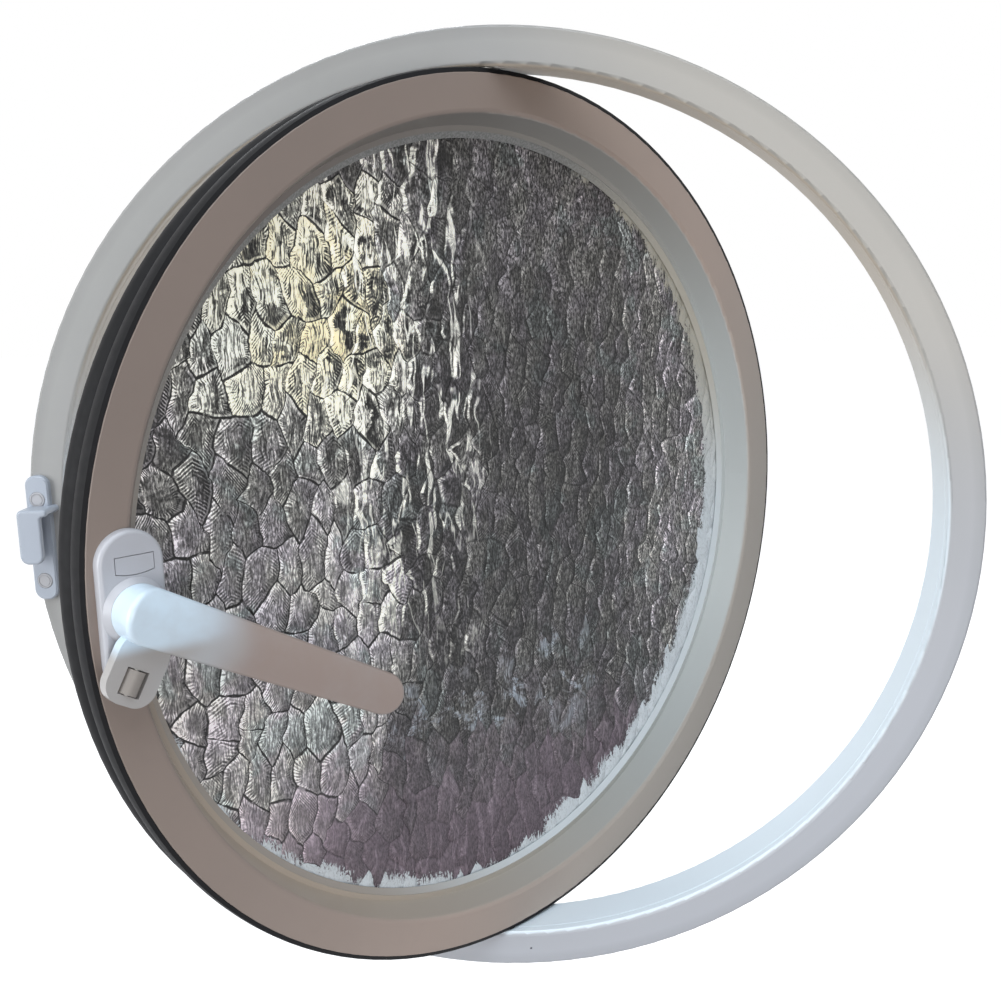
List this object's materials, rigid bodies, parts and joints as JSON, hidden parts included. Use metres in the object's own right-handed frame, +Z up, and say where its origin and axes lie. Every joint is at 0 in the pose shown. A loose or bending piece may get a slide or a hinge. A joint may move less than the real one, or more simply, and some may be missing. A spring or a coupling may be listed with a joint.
{
  "type": "round window",
  "caption": "Round window that turns about two upright pins, with a ring frame, a relief-glass pane in a gasketed sash, a lever handle with a roller nose and a hooked keeper.",
  "frame": {"origin": "centre of the frame ring, halfway through its depth", "axes": "+Z up, +X to the right seen from the room, +Y outdoors along the ring's axis; the sash is modelled part open, turned 45.8 degrees about its upright pins"},
  "size_m": [0.5, 0.3569, 0.5],
  "materials": {
    "frame_paint": "light grey-white powder coat, satin",
    "sash_paint": "warm light grey powder coat, satin",
    "bead_paint": "white powder coat, satin",
    "handle_paint": "white painted casting, semi-gloss",
    "cap_plastic": "white moulded plastic",
    "gasket_rubber": "black extruded rubber",
    "setting_rubber": "black rubber blocks under the glass",
    "white_sealant": "white cured silicone",
    "relief_glass": "cast glass with a relief pattern",
    "block_plastic": "dark grey moulded plastic",
    "bush_plastic": "black nylon",
    "fastener_steel": "zinc-plated steel",
    "roller_steel": "satin steel roller"
  },
  "bodies": {
    "frame": {"frame_ring": "frame_paint", "pivot_block_top": "block_plastic", "pivot_block_bottom": "block_plastic", "pivot_bush_top": "bush_plastic", "pivot_bush_bottom": "bush_plastic", "pivot_screws": "fastener_steel", "keeper": "handle_paint", "keeper_screws": "fastener_steel", "keeper_caps": "cap_plastic"},
    "sash": {"sash_ring": "sash_paint", "pivot_pin_top": "fastener_steel", "pivot_pin_bottom": "fastener_steel", "gasket_front": "gasket_rubber", "gasket_rear": "gasket_rubber", "glass_pane": "relief_glass", "setting_block_left": "setting_rubber", "setting_block_right": "setting_rubber", "sealant_front": "white_sealant", "sealant_rear": "white_sealant", "glazing_bead": "bead_paint", "handle_base": "handle_paint", "handle_screws": "fastener_steel", "screw_plug": "cap_plastic", "handle_spindle": "fastener_steel", "friction_washer": "bush_plastic"},
    "lever": {"lever": "handle_paint", "roller_pin": "fastener_steel"},
    "roller": {"roller": "roller_steel"}
  },
  "joints": [
    {"name": "sash_pivot", "type": "hinge", "parent": "frame", "child": "sash", "pos_m": [0, -0.0075, 0], "axis": [0, 0, 1], "range_deg": [-45.8, 44.2]},
    {"name": "lever_turn", "type": "hinge", "parent": "sash", "child": "lever", "pos_m": [-0.14168, -0.1618, 0], "axis": [-0.7169, 0.6972, 0], "range_deg": [0, 60]},
    {"name": "roller_spin", "type": "hinge", "parent": "lever", "child": "roller", "pos_m": [-0.13912, -0.17501, -0.02713], "axis": [-0.3486, -0.3585, -0.866], "continuous": true}
  ]
}
